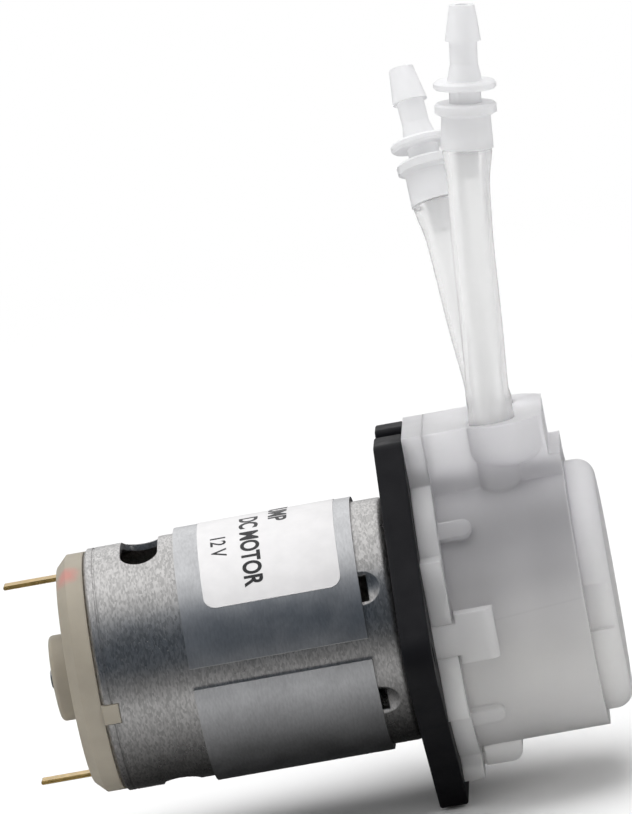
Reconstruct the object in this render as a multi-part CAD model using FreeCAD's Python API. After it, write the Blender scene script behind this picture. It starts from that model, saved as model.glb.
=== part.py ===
"""Small peristaltic dosing pump: a can motor, a mounting flange and a roller pump head with two hoses.

Frame: the origin is the centre of the flange's rear face, on the motor's axis. +X points along
the shaft towards the pump head, +Z up along the hoses. Lengths are in millimetres.
"""

import FreeCAD, Part
import math
import os

V = FreeCAD.Vector

# ---- Driving dimensions ----------------------------------------------------------------------
# How far a cutter reaches past what it cuts
past = 1.0

# Motor case
can_r = 13.85
can_len = 34.7
can_wall = 0.8
can_front_wall = 1.2
can_edge_round = 1.2
can_boss_r = 5.0
can_boss_len = 2.4
vent_from_rear = 6.5
vent_wide = 4.3
vent_half_angle = 26.0
dent_half_wide = 2.2
dent_deep = 0.6
dent_angle = 28.0
dent_slit_half = 1.5
dent_slit_wide = 0.8
rim_long = 1.1
rim_bevel = 0.45
rim_groove_wide = 0.25
rim_groove_deep = 0.15

# Flux ring round the case, and the label on it
ring_wall = 0.6
ring_from_rear = 10.5
ring_front = -4.0
ring_gap = 2.4
label_thick = 0.08
label_from_ring_rear = 2.8
label_front = -5.9
label_start_angle = 30.0
label_sweep = 119.0
label_corner_r = 1.4
label_blank = 1.0

# Rear end cap and terminals
cap_step = 0.25
cap_len = 3.2
cap_chamfer = 1.2
cap_spigot_len = 2.2
cap_spigot_wall = 1.6
cap_boss_r = 4.9
cap_boss_len = 2.5
cap_boss_round = 0.5
cap_boss_wall = 0.6
cap_hole_gap = 0.3
cap_tab_wide = 2.3
cap_tab_long = 1.9
cap_tab_angle = 10.0
terminal_from_edge = 2.2
terminal_wide = 1.9
terminal_thick = 0.45
terminal_out = 6.3
terminal_tip_round = 0.2
terminal_fold = 0.1
brush_wide = 2.5
brush_long = 3.0
brush_tall = 3.4
brush_gap = 0.1
brush_from_bar_end = 0.4
strip_thick = 0.3
strip_lap = 0.15

# Armature
shaft_r = 1.15
shaft_end_out = 0.5
shaft_bevel = 0.2
core_to_magnet_back = 4.15
core_from_rear = 8.7
core_front = -10.0
slot_count = 5
slot_opening = 1.0
core_web = 2.35
core_tooth_tip = 1.4
winding_end_len = 2.3
winding_end_inset = 1.5
winding_hub_r = 2.2
winding_round = 1.2
commutator_r = 3.0
commutator_len = 4.0
commutator_gap = 0.8
commutator_slot_deep = 0.5
commutator_slot_wide = 0.3
bush_r = 2.6
bush_len = 3.4
running_gap = 0.05
washer_r = 2.2
washer_thick = 0.4

# Magnets
magnet_air_gap = 0.5
magnet_from_core_rear = 0.6
magnet_front = -5.6
magnet_sweep = 132.0
clip_thick = 0.6

# Flange and screws
flange_thick = 3.25
flange_past_foot = 2.6
flange_end_half = 7.0
flange_corner_r = 1.5
ear_at = 24.0
ear_r = 4.0
mount_hole_r = 1.45
flange_edge_r = 0.3
boss_gap = 0.1
notch_wide = 3.6
notch_deep = 2.2
notch_at = 0.9
notch_round = 0.8
screw_at = 8.0
screw_r = 1.25
screw_head_r = 2.2
screw_head_len = 1.3
screw_into_motor = 3.0
cross_deep = 0.6
cross_half_wide = 0.25
cross_reach = 1.4

# Pump head
base_thick = 2.35
base_past_drum = 1.15
neck_past_leg = 1.95
head_past_drum = 5.45
pad_half_height = 9.0
pad_past_base = 0.8
foot_past_base = 1.4
drum_wall = 2.25
drum_past_carrier = 1.2
block_step = 1.3
step_past_drum = 0.85
cover_past_race = 0.6
cover_len = 3.15
cover_round = 2.0
cover_wall = 1.6
cover_spigot_len = 0.9
cover_recess_half = 2.6
cover_recess_deep = 1.1
socket_r = 4.45
socket_past_tube = 1.3
socket_len = 5.0
socket_round = 2.2
socket_recess_r = 2.7
socket_recess_deep = 3.5
arm_wide = 5.6
arm_tip_wide = 3.6
arm_past_drum = 2.05
arm_long = 4.6
arm_into_flange = 0.55
arm_tip_thick = 1.4
arm_lip = 0.6
arm_lip_long = 0.8
arm_root_gap = 0.3
arm_round = 1.3
arm_root = 0.6
arm_angles = (0.0, 180.0, -90.0)
rib_wide = 2.2
rib_long = 3.8
rib_proud = 0.9
upper_rib_angle = 42.5
lower_rib_angle = -37.5

# Roller carrier, rollers and the drive sleeve
sleeve_r = 1.9
roller_r = 4.7
roller_len = 7.8
roller_edge_r = 0.4
roller_count = 3
first_roller_angle = 90.0
friction_gap = 0.05
pin_r = 1.0
plate_past_orbit = 3.15
plate_thick = 1.6
side_gap = 0.3
carrier_from_base = 2.0
hub_r = 4.5
hub_bore_r = 2.4
hub_from_base_rear = 0.35
stub_r = 2.0
stub_len = 2.2
stub_end_gap = 0.2
stub_boss_gap = 0.3
post_r = 1.5
post_past_orbit = 0.25

# Hose and tube
hose_r = 2.35
hose_bore_r = 1.25
bend_share = 0.45
squeeze_gap = 0.05
leg_y = 4.9
bend_r = 10.0
leg_above_bend = 0.05
leg_gap = 0.1
leg_wall = 0.55
roller_to_tube = 0.1
pinch_half_angle = 27.0
# Connectors on the hose ends, measured along their own axis from the hose's end
stem_len = 3.2
socket_body_r = 2.95
socket_neck_r = 2.75
luer_rim_r = 3.45
luer_rim_from = 4.0
luer_len = 5.1
luer_taper_r = 2.1
luer_taper_small_r = 1.95
luer_taper_from = 1.0
luer_rim_flare = 0.4
luer_seat_gap = 0.3
fitting_bore_r = 0.75
rim_corner = 0.25
adapter_neck_r = 1.78
adapter_collar_r = 3.5
adapter_collar_from = 6.6
adapter_collar_to = 7.55
adapter_cone_r = 1.95
adapter_stem_r = 1.55
adapter_stem_from = 9.4
barb_from = 12.0
barb_r = 2.0
barb_tip_r = 1.4
adapter_len = 16.0

# ---- Places that follow from them ------------------------------------------------------------
can_inner_r = can_r - can_wall
ring_r = can_r + ring_wall
ring_rear = -can_len + ring_from_rear
label_rear = ring_rear + label_from_ring_rear
cap_r = can_r - cap_step
cap_face = -can_len - cap_len
cap_boss_end = cap_face - cap_boss_len
terminal_z = cap_r - terminal_from_edge
core_r = can_inner_r - core_to_magnet_back
core_rear = -can_len + core_from_rear
slot_pocket_r = (core_r - core_tooth_tip - shaft_r - core_web) / 2
slot_pocket_at = core_r - core_tooth_tip - slot_pocket_r
winding_end_r = core_r - winding_end_inset
magnet_r = can_inner_r
magnet_inner_r = core_r + magnet_air_gap
magnet_rear = core_rear + magnet_from_core_rear

base_rear = flange_thick
base_front = base_rear + base_thick
rear_plate_rear = base_front + carrier_from_base
rear_plate_front = rear_plate_rear + plate_thick
roller_rear = rear_plate_front + side_gap
roller_front = roller_rear + roller_len
front_plate_rear = roller_front + side_gap
front_plate_front = front_plate_rear + plate_thick
hub_rear = base_rear + hub_from_base_rear
drum_front = front_plate_front + drum_past_carrier
block_front = drum_front - block_step
cover_front = drum_front + cover_len
arm_rear = base_rear - arm_into_flange
arm_front = base_front + arm_long
rib_front = base_front + rib_long

orbit_r = sleeve_r + friction_gap + roller_r
plate_r = orbit_r + plate_past_orbit
post_at = orbit_r + post_past_orbit
race_r = orbit_r + roller_r + 2 * (hose_r - hose_bore_r) + squeeze_gap
drum_r = race_r + drum_wall
cover_r = race_r + cover_past_race
base_r = drum_r + base_past_drum
pad_at = base_r + pad_past_base
foot_at = base_r + foot_past_base
flange_half_height = foot_at + flange_past_foot
head_top = drum_r + head_past_drum
step_top = drum_r + step_past_drum
arm_outer = drum_r + arm_past_drum
neck_half = leg_y + neck_past_leg
roller_angles = [first_roller_angle + 360.0 / roller_count * i for i in range(roller_count)]

tube_x = (roller_rear + roller_front) / 2
tube_ring_r = race_r - hose_r
bend_centre_y = leg_y + bend_r
bend_centre_z = math.sqrt((tube_ring_r + bend_r) ** 2 - bend_centre_y**2)
bend_angle = math.degrees(math.atan2(bend_centre_z, bend_centre_y))
socket_x = tube_x + socket_past_tube
hose_start_z = bend_centre_z + leg_above_bend

inlet_points = [
    (tube_x, -leg_y, hose_start_z),
    (tube_x, -leg_y, head_top + 0.7),
    (tube_x + 1.05, -leg_y - 0.05, head_top + 11.7),
    (tube_x + 1.7, -leg_y - 0.1, head_top + 22.0),
    (tube_x + 2.95, -leg_y - 0.15, head_top + 30.7),
]
outlet_points = [
    (tube_x, leg_y, hose_start_z),
    (tube_x, leg_y, head_top + 1.2),
    (tube_x - 0.85, leg_y + 0.6, head_top + 9.2),
    (tube_x - 1.3, leg_y + 2.0, head_top + 16.7),
    (tube_x - 1.95, leg_y + 4.4, head_top + 23.2),
]

X = V(1, 0, 0)
ORIGIN = V(0, 0, 0)
os.makedirs("parts", exist_ok=True)


# ---- Helpers ---------------------------------------------------------------------------------
def rod(r, x0, x1, y=0.0, z=0.0):
    """A cylinder along X."""
    return Part.makeCylinder(r, x1 - x0, V(x0, y, z), X)


def sleeve(r_out, r_in, x0, x1, y=0.0, z=0.0):
    """A plain ring along X."""
    return rod(r_out, x0, x1, y, z).cut(rod(r_in, x0, x1, y, z))


def block(x0, x1, y0, y1, z0, z1):
    return Part.makeBox(x1 - x0, y1 - y0, z1 - z0, V(x0, y0, z0))


def turned(shape, angle):
    """A copy turned about the motor's axis."""
    copy = shape.copy()
    copy.rotate(ORIGIN, X, angle)
    return copy


def ring_part(r_out, r_in, x0, x1, start, sweep):
    """A piece of a ring about X; angles run from +Y towards +Z."""
    corners = [V(x0, r_in, 0), V(x1, r_in, 0), V(x1, r_out, 0), V(x0, r_out, 0), V(x0, r_in, 0)]
    face = Part.Face(Part.makePolygon(corners))
    return turned(face.revolve(ORIGIN, X, sweep), start)


def profile_about(points, axis_from, axis_to):
    """A turned solid from (radius, distance along) points, placed on the line between two points."""
    wire = Part.makePolygon([V(r, 0, s) for r, s in points] + [V(points[0][0], 0, points[0][1])])
    solid = Part.Face(wire).revolve(ORIGIN, V(0, 0, 1), 360)
    direction = (V(*axis_to) - V(*axis_from)).normalize()
    solid.Placement = FreeCAD.Placement(V(*axis_to), FreeCAD.Rotation(V(0, 0, 1), direction))
    return solid


def rounded(shape, radius, chosen):
    """Fillets the edges that the test picks."""
    edges = [e for e in shape.Edges if chosen(e)]
    return shape.makeFillet(radius, edges)


def bevelled(shape, size, chosen):
    edges = [e for e in shape.Edges if chosen(e)]
    return shape.makeChamfer(size, edges)


def circle_edge_at(x, r):
    """Picks the full circles of radius r about X at the station x."""

    def test(edge):
        curve = edge.Curve
        if not isinstance(curve, Part.Circle):
            return False
        return abs(curve.Radius - r) < 1e-6 and abs(edge.CenterOfMass.x - x) < 1e-6

    return test


def along_x(x0, x1, y, z):
    """Picks straight edges along X that pass through (y, z)."""

    def test(edge):
        c, box = edge.CenterOfMass, edge.BoundBox
        near = abs(c.y - y) < 1e-6 and abs(c.z - z) < 1e-6
        return near and box.XMin > x0 - 1e-6 and box.XMax < x1 + 1e-6 and box.XLength > 0.1

    return test


def save(name, shape):
    shape = shape.removeSplitter() if shape.Solids else shape
    if not shape.isValid() or not shape.Solids:
        raise RuntimeError(name + " is not a valid solid")
    shape.exportStep("parts/" + name + ".step")
    print(f"{name}: {len(shape.Solids)} solid, {shape.Volume:.1f} mm3")


# ---- Motor case ------------------------------------------------------------------------------
def vent_cutter(direction):
    """A round-ended window round the case, above (+1) or below (-1) the axis."""
    x = -can_len + vent_from_rear
    middle = 90.0 * direction
    r = vent_wide / 2
    inner, outer = can_inner_r - past, can_r + past
    end_turn = vent_half_angle - math.degrees(r / can_r)
    cutter = ring_part(outer, inner, x - r, x + r, middle - end_turn, 2 * end_turn)
    for side in (-1, 1):
        turn = math.radians(middle + side * end_turn)
        out = V(0, math.cos(turn), math.sin(turn))
        start = V(x, 0, 0) + out * inner
        cutter = cutter.fuse(Part.makeCylinder(r, outer - inner, start, out))
    return cutter


def cap_tab(side, gap):
    """The key on the end cap that fits the notch in the case's rear rim."""
    half = cap_tab_wide / 2 + gap
    tab = block(-can_len, -can_len + cap_tab_long + gap, can_inner_r - past, can_r, -half, half)
    return turned(tab, -cap_tab_angle if side > 0 else 180 + cap_tab_angle)


def motor_can():
    can = rounded(rod(can_r, -can_len, 0), can_edge_round, circle_edge_at(0, can_r))
    can = bevelled(can, rim_bevel, circle_edge_at(-can_len, can_r))
    can = can.cut(rod(can_inner_r, -can_len, -can_front_wall))
    can = can.fuse(rod(can_boss_r, -can_front_wall, can_boss_len))
    can = can.cut(rod(bush_r, -can_front_wall, can_boss_len))
    rim = -can_len + rim_long
    can = can.cut(sleeve(can_r + past, can_r - rim_groove_deep, rim, rim + rim_groove_wide))
    for direction in (-1, 1):
        can = can.cut(vent_cutter(direction))
        can = can.cut(cap_tab(direction, running_gap))
    ball_r = (dent_half_wide**2 + dent_deep**2) / (2 * dent_deep)
    ball = Part.makeSphere(ball_r, V(ring_front, can_r - dent_deep + ball_r, 0))
    x0, x1, half = ring_front - dent_slit_wide, ring_front + dent_slit_wide, dent_slit_half
    slit = block(x0, x1, can_inner_r - past, can_r + past, -half, half)
    dent = ball.fuse(slit)
    for middle in (dent_angle, -dent_angle, 180 - dent_angle, 180 + dent_angle):
        can = can.cut(turned(dent, middle))
    for y in (-screw_at, screw_at):
        can = can.cut(rod(screw_r, -can_front_wall, 0, y))
    return can


def flux_ring():
    ring = sleeve(ring_r, can_r, ring_rear, ring_front)
    return ring.cut(block(ring_rear, ring_front, -ring_r - past, 0, -ring_gap / 2, ring_gap / 2))


def rating_label():
    """A thin bent sheet, taken from a thicker blank whose four corners are rounded first."""
    start = 180 - label_start_angle - label_sweep
    inner, outer = ring_r - label_blank, ring_r + label_blank
    blank = ring_part(outer, inner, label_rear, label_front, start, label_sweep)
    blank = rounded(blank, label_corner_r, lambda e: abs(e.Length - 2 * label_blank) < 1e-4)
    return blank.common(sleeve(ring_r + label_thick, ring_r, label_rear, label_front))


# ---- Rear end cap, terminals and brushes -----------------------------------------------------
def terminal_slot(direction):
    half = terminal_thick / 2
    z = direction * terminal_z
    inside = -can_len + strip_thick
    return block(cap_face, inside, -terminal_wide / 2, terminal_wide / 2, z - half, z + half)


def rear_end_cap():
    cap = bevelled(rod(cap_r, cap_face, -can_len), cap_chamfer, circle_edge_at(cap_face, cap_r))
    spigot_inner = can_inner_r - cap_spigot_wall
    cap = cap.fuse(sleeve(can_inner_r, spigot_inner, -can_len, -can_len + cap_spigot_len))
    boss = rod(cap_boss_r, cap_boss_end, cap_face)
    boss = rounded(boss, cap_boss_round, circle_edge_at(cap_boss_end, cap_boss_r))
    cap = cap.fuse(boss)
    cap = cap.cut(rod(bush_r, cap_boss_end + cap_boss_wall, -can_len))
    cap = cap.cut(rod(shaft_r + cap_hole_gap, cap_boss_end, cap_boss_end + cap_boss_wall))
    for direction in (-1, 1):
        cap = cap.fuse(cap_tab(direction, 0.0))
        cap = cap.cut(terminal_slot(direction))
    return cap


def terminal(direction):
    """A folded brass tab; the fold shows as a groove along its edges, and the tip is rounded."""
    half = terminal_thick / 2
    z = direction * terminal_z
    tip = cap_face - terminal_out
    wide = terminal_wide / 2
    tab = block(tip, -can_len + strip_thick, -wide, wide, z - half, z + half)
    tab = rounded(tab, terminal_tip_round, lambda e: e.BoundBox.XMax < tip + 1e-6
                  and e.BoundBox.YLength > wide)
    groove = terminal_fold / 2
    for side in (-1, 1):
        y = side * wide
        tab = tab.cut(block(tip, cap_face, y - groove, y + groove, z - groove, z + groove))
    return tab


def brush_arm(direction):
    """The spring strip from a terminal's root, forward and in to the back of its brush."""
    z1 = commutator_r + brush_gap + brush_tall
    x0 = -can_len + strip_thick
    x1 = core_rear - winding_end_len - commutator_gap
    z2 = terminal_z - terminal_thick / 2 + strip_lap
    strip = block(x0, x0 + strip_thick, -brush_wide / 2, brush_wide / 2, z1, z2)
    foot = block(x0, x1, -brush_wide / 2, brush_wide / 2, z1, z1 + strip_thick)
    arm = strip.fuse(foot)
    return arm if direction > 0 else turned(arm, 180)


def brush(direction):
    z0 = commutator_r + brush_gap
    x1 = core_rear - winding_end_len - commutator_gap - brush_from_bar_end
    body = block(x1 - brush_long, x1, -brush_wide / 2, brush_wide / 2, z0, z0 + brush_tall)
    hollow = rod(commutator_r + brush_gap, x1 - brush_long, x1)
    body = body.cut(hollow)
    return body if direction > 0 else turned(body, 180)


# ---- Armature --------------------------------------------------------------------------------
def slot_cutter(angle):
    pocket = rod(slot_pocket_r, core_rear, core_front, slot_pocket_at)
    half = slot_opening / 2
    opening = block(core_rear, core_front, slot_pocket_at, core_r + past, -half, half)
    return turned(pocket.fuse(opening), angle)


def slot_angles():
    return [360.0 / slot_count * i for i in range(slot_count)]


def armature_core():
    core = sleeve(core_r, shaft_r, core_rear, core_front)
    for angle in slot_angles():
        core = core.cut(slot_cutter(angle))
    return core


def armature_windings():
    """Copper filling the slot pockets, joined by a rounded bundle of end turns at each end."""
    copper = None
    for x0, x1 in ((core_rear - winding_end_len, core_rear), (core_front, core_front + winding_end_len)):
        outer_end = x0 if x0 < core_rear else x1
        end_edge = circle_edge_at(outer_end, winding_end_r)
        bundle = rounded(rod(winding_end_r, x0, x1), winding_round, end_edge)
        bundle = bundle.cut(rod(winding_hub_r, x0, x1))
        copper = bundle if copper is None else copper.fuse(bundle)
    for angle in slot_angles():
        copper = copper.fuse(turned(rod(slot_pocket_r, core_rear, core_front, slot_pocket_at), angle))
    return copper


def commutator():
    x1 = core_rear - winding_end_len - commutator_gap
    x0 = x1 - commutator_len
    body = sleeve(commutator_r, shaft_r, x0, x1)
    half = commutator_slot_wide / 2
    slot = block(x0, x1, commutator_r - commutator_slot_deep, commutator_r + past, -half, half)
    for angle in slot_angles():
        body = body.cut(turned(slot, angle))
    return body


def motor_shaft():
    rear = cap_boss_end - shaft_end_out
    shaft = rod(shaft_r, rear, roller_front)
    return bevelled(shaft, shaft_bevel, circle_edge_at(rear, shaft_r))


def bush(x0):
    return sleeve(bush_r, shaft_r + running_gap, x0, x0 + bush_len)


def thrust_washers():
    x0 = core_front + winding_end_len
    front = sleeve(washer_r, shaft_r, x0, x0 + washer_thick)
    x1 = core_rear - winding_end_len - commutator_gap - commutator_len
    rear = sleeve(washer_r, shaft_r, x1 - washer_thick, x1)
    return Part.makeCompound([front, rear])


# ---- Magnets ---------------------------------------------------------------------------------
def magnet(direction):
    start = 90.0 * direction - magnet_sweep / 2
    return ring_part(magnet_r, magnet_inner_r, magnet_rear, magnet_front, start, magnet_sweep)


def magnet_clips():
    """The two sprung strips that push the magnets apart, one on each side."""
    clear = 90.0 - magnet_sweep / 2
    inner = can_inner_r - clip_thick
    near = ring_part(can_inner_r, inner, magnet_rear, magnet_front, -clear, 2 * clear)
    return Part.makeCompound([near, turned(near, 180)])


# ---- Flange and screws -----------------------------------------------------------------------
def tangent_on_ear():
    """Where the straight side from the end's corner meets the round ear, in the first quadrant."""
    dy = flange_end_half - ear_at
    dz = flange_half_height
    reach = math.hypot(dy, dz)
    turn = math.atan2(dz, dy) - math.acos(ear_r / reach)
    return ear_at + ear_r * math.cos(turn), ear_r * math.sin(turn)


def mounting_flange():
    """A diamond plate with an ear and a hole at each side and a flat end above and below."""
    y, z = tangent_on_ear()
    top, half, tip = flange_half_height, flange_end_half, ear_at + ear_r
    right = Part.Arc(V(0, y, -z), V(0, tip, 0), V(0, y, z)).toShape()
    left = Part.Arc(V(0, -y, z), V(0, -tip, 0), V(0, -y, -z)).toShape()
    over = Part.makePolygon([V(0, y, z), V(0, half, top), V(0, -half, top), V(0, -y, z)])
    under = Part.makePolygon([V(0, -y, -z), V(0, -half, -top), V(0, half, -top), V(0, y, -z)])
    outline = Part.Wire([right] + over.Edges + [left] + under.Edges)
    plate = Part.Face(outline).extrude(V(flange_thick, 0, 0))
    for sy in (-1, 1):
        for sz in (-1, 1):
            corner = along_x(0, flange_thick, sy * half, sz * top)
            plate = rounded(plate, flange_corner_r, corner)
    y0, y1 = notch_at - notch_wide / 2, notch_at + notch_wide / 2
    plate = plate.cut(block(0, flange_thick, y0, y1, top - notch_deep, top))
    for y in (y0, y1):
        for z in (top - notch_deep, top):
            plate = rounded(plate, notch_round, along_x(0, flange_thick, y, z))
    plate = rounded(plate, flange_edge_r, lambda e: e.BoundBox.XLength < 1e-6)
    plate = plate.cut(rod(can_boss_r + boss_gap, 0, flange_thick))
    for side in (-1, 1):
        plate = plate.cut(rod(mount_hole_r, 0, flange_thick, side * ear_at))
        plate = plate.cut(rod(screw_r, 0, flange_thick, side * screw_at))
    for angle in arm_angles:
        plate = plate.cut(arm_tip_pocket(angle))
    return plate


def screw_cross(y):
    """The cross in a screw's head."""
    x0, half, reach = base_front - cross_deep, cross_half_wide, cross_reach
    level = block(x0, base_front, y - reach, y + reach, -half, half)
    upright = block(x0, base_front, y - half, y + half, -reach, reach)
    return level.fuse(upright)


def motor_screws():
    screws = []
    head_rear = base_front - screw_head_len
    for y in (-screw_at, screw_at):
        shank = rod(screw_r, -screw_into_motor, head_rear, y)
        screw = shank.fuse(rod(screw_head_r, head_rear, base_front, y))
        screws.append(screw.cut(screw_cross(y)))
    return Part.makeCompound(screws)


# ---- Pump head -------------------------------------------------------------------------------
def arm_tip_pocket(angle):
    """Room for an arm's tip and its hook, cut from the base and the flange's front."""
    gap = running_gap
    half = arm_tip_wide / 2 + gap
    shoulder = arm_outer - arm_tip_thick
    pocket = block(arm_rear - gap, base_front, shoulder - gap, arm_outer + gap, -half, half)
    outside = block(base_rear, base_front, shoulder, arm_outer + past, -half, half)
    hook_front = base_rear + arm_lip_long + gap
    lip = block(arm_rear - gap, hook_front, shoulder - arm_lip - gap, shoulder, -half, half)
    return turned(pocket.fuse(outside).fuse(lip), angle)


def head_base():
    plate = rod(base_r, base_rear, base_front)
    plate = plate.fuse(block(base_rear, base_front, -neck_half, neck_half, 0, head_top))
    plate = plate.fuse(block(base_rear, base_front, -neck_half, neck_half, -foot_at, 0))
    pad = block(base_rear, base_front, -pad_at, pad_at, -pad_half_height, pad_half_height)
    plate = plate.fuse(pad).removeSplitter()
    for angle in arm_angles:
        plate = plate.cut(arm_tip_pocket(angle))
    plate = plate.cut(rod(hub_r + running_gap, base_rear, base_front))
    for y in (-screw_at, screw_at):
        plate = plate.cut(rod(screw_head_r, base_front - screw_head_len, base_front, y))
        plate = plate.cut(rod(screw_r, base_rear, base_front, y))
    return plate


def snap_arm(angle):
    """An arm on the drum with a narrow tip that hooks over the base's edge."""
    half = arm_wide / 2
    arm = block(base_front + arm_root_gap, arm_front, race_r + arm_root, arm_outer, -half, half)
    arm = rounded(arm, arm_round, lambda e: abs(e.CenterOfMass.x - arm_front) < 1e-6
                  and abs(e.CenterOfMass.y - arm_outer) < 1e-6)
    tip_half = arm_tip_wide / 2
    inner = arm_outer - arm_tip_thick
    tip = block(arm_rear, base_front + arm_root_gap, inner, arm_outer, -tip_half, tip_half)
    hook_front = base_rear + arm_lip_long
    hook = block(arm_rear, hook_front, inner - arm_lip, inner, -tip_half, tip_half)
    return turned(arm.fuse(tip).fuse(hook), angle)


def rib(angle):
    """A short round-ended rib on the drum's rear edge."""
    half = rib_wide / 2
    root = race_r + arm_root
    body = block(base_front, rib_front - half, root, drum_r + rib_proud, -half, half)
    end = Part.makeCylinder(half, drum_r + rib_proud - root, V(rib_front - half, root, 0), V(0, 1, 0))
    return turned(body.fuse(end), angle)


def tube_leg(side, r, z_top):
    """One leg of the tube: up from the race through a wide bend, then straight up."""
    y = side * leg_y
    z = bend_centre_z
    section = Part.Face(Part.Wire(Part.makeCircle(r, V(tube_x, y, z), V(0, 0, 1))))
    bend = section.revolve(V(tube_x, side * bend_centre_y, z), X * side, bend_angle)
    return bend.fuse(Part.makeCylinder(r, z_top - z, V(tube_x, y, z)))


def hose_socket(side):
    """The round boss that a hose stands in, with a rounded lower end."""
    bottom = head_top - socket_len
    boss = Part.makeCylinder(socket_r, socket_len, V(socket_x, side * leg_y, bottom))
    return rounded(boss, socket_round, lambda e: e.BoundBox.ZMax < bottom + 1e-6)


def pump_housing():
    shell = rod(drum_r, base_front, drum_front)
    shell = shell.fuse(block(base_front, block_front, -neck_half, neck_half, 0, head_top))
    shell = shell.fuse(block(block_front, drum_front, -neck_half, neck_half, 0, step_top))
    for side in (-1, 1):
        shell = shell.fuse(hose_socket(side))
        shell = shell.fuse(tube_leg(side, hose_r + leg_gap + leg_wall, head_top - socket_recess_deep))
    for angle in arm_angles:
        shell = shell.fuse(snap_arm(angle))
    for angle in (upper_rib_angle, lower_rib_angle):
        shell = shell.fuse(rib(angle)).fuse(rib(180 - angle))
    shell = shell.cut(rod(race_r, base_front, drum_front))
    for side in (-1, 1):
        shell = shell.cut(tube_leg(side, hose_r + leg_gap, head_top))
        recess_foot = V(tube_x, side * leg_y, head_top - socket_recess_deep)
        shell = shell.cut(Part.makeCylinder(socket_recess_r, socket_recess_deep, recess_foot))
    return shell


def front_cover():
    cover = rod(cover_r, drum_front, cover_front)
    cover = rounded(cover, cover_round, circle_edge_at(cover_front, cover_r))
    spigot_r = race_r - running_gap
    cover = cover.fuse(rod(spigot_r, drum_front - cover_spigot_len, drum_front))
    roof = cover_front - cover_wall
    cover = cover.cut(rod(spigot_r - cover_wall, drum_front - cover_spigot_len, roof))
    boss_rear = front_plate_front + stub_boss_gap
    pocket_end = front_plate_front + stub_len + stub_end_gap
    cover = cover.fuse(rod(stub_r + cover_wall, boss_rear, roof))
    cover = cover.cut(rod(stub_r + running_gap, boss_rear, pocket_end))
    half = cover_recess_half
    for side in (-1, 1):
        y0, y1 = sorted((side * (cover_r - cover_recess_deep), side * (cover_r + past)))
        cover = cover.cut(block(drum_front, cover_front, y0, y1, -half, half))
    return cover


# ---- Rollers and carrier ---------------------------------------------------------------------
def roller_place(angle):
    turn = math.radians(angle)
    return orbit_r * math.cos(turn), orbit_r * math.sin(turn)


def drive_sleeve():
    return sleeve(sleeve_r, shaft_r, roller_rear, roller_front)


def carrier_rear_plate():
    plate = rod(plate_r, rear_plate_rear, rear_plate_front).fuse(rod(hub_r, hub_rear, rear_plate_rear))
    plate = plate.cut(rod(hub_bore_r, hub_rear, rear_plate_front))
    for angle in roller_angles:
        y, z = roller_place(angle)
        plate = plate.cut(rod(pin_r, rear_plate_rear, rear_plate_front, y, z))
        post = rod(post_r, rear_plate_front, front_plate_rear, post_at)
        plate = plate.fuse(turned(post, angle + 180.0 / roller_count))
    return plate


def carrier_front_plate():
    plate = rod(plate_r, front_plate_rear, front_plate_front)
    plate = plate.fuse(rod(stub_r, front_plate_front, front_plate_front + stub_len))
    for angle in roller_angles:
        y, z = roller_place(angle)
        plate = plate.cut(rod(pin_r, front_plate_rear, front_plate_front, y, z))
    return plate


def roller(angle):
    y, z = roller_place(angle)
    body = rod(roller_r, roller_rear, roller_front)
    for x in (roller_rear, roller_front):
        body = rounded(body, roller_edge_r, circle_edge_at(x, roller_r))
    body.translate(V(0, y, z))
    return body.cut(rod(pin_r + running_gap, roller_rear, roller_front, y, z))


def roller_pin(angle):
    y, z = roller_place(angle)
    return rod(pin_r, rear_plate_rear, front_plate_front, y, z)


# ---- Pump tube and hoses ---------------------------------------------------------------------
def round_stretch(start, end, r):
    turn = math.radians(start)
    centre = V(tube_x, tube_ring_r * math.cos(turn), tube_ring_r * math.sin(turn))
    direction = V(0, -math.sin(turn), math.cos(turn))
    section = Part.Face(Part.Wire(Part.makeCircle(r, centre, direction)))
    return section.revolve(ORIGIN, X, end - start)


def pump_tube():
    """One tube: down from the inlet, round the race, pinched by two rollers, and up to the outlet."""
    start, end = 180 - bend_angle, 360 + bend_angle
    tube = round_stretch(start, end, hose_r)
    for side in (-1, 1):
        tube = tube.fuse(tube_leg(side, hose_r, hose_start_z))
    for angle in roller_angles:
        y, z = roller_place(angle)
        tube = tube.cut(rod(roller_r + roller_to_tube, rear_plate_front, front_plate_rear, y, z))
    pinched = sorted(a for a in roller_angles if start < a < end)
    stops = [start] + [a + s for a in pinched for s in (-pinch_half_angle, pinch_half_angle)] + [end]
    for a, b in zip(stops[::2], stops[1::2]):
        tube = tube.cut(round_stretch(a, b, hose_bore_r))
    for side in (-1, 1):
        tube = tube.cut(tube_leg(side, hose_bore_r, hose_start_z))
    return tube


def hose_path(points):
    """Straight runs joined by arcs that touch them; prints each arc's radius."""
    p = [V(*q) for q in points]
    edges, radii, start = [], [], p[0]
    for before, corner, after in zip(p, p[1:], p[2:]):
        back, on = (before - corner), (after - corner)
        shorter = min(back.Length, on.Length)
        turn = math.pi - back.getAngle(on)
        cut = bend_share * shorter
        radius = cut / math.tan(turn / 2)
        back.normalize()
        on.normalize()
        a, b = corner + back * cut, corner + on * cut
        middle_way = (back + on).normalize()
        middle = corner + middle_way * (radius / math.cos(turn / 2) - radius)
        edges.append(Part.LineSegment(start, a).toShape())
        edges.append(Part.Arc(a, middle, b).toShape())
        radii.append(radius)
        start = b
    edges.append(Part.LineSegment(start, p[-1]).toShape())
    return Part.Wire(edges), radii


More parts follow.
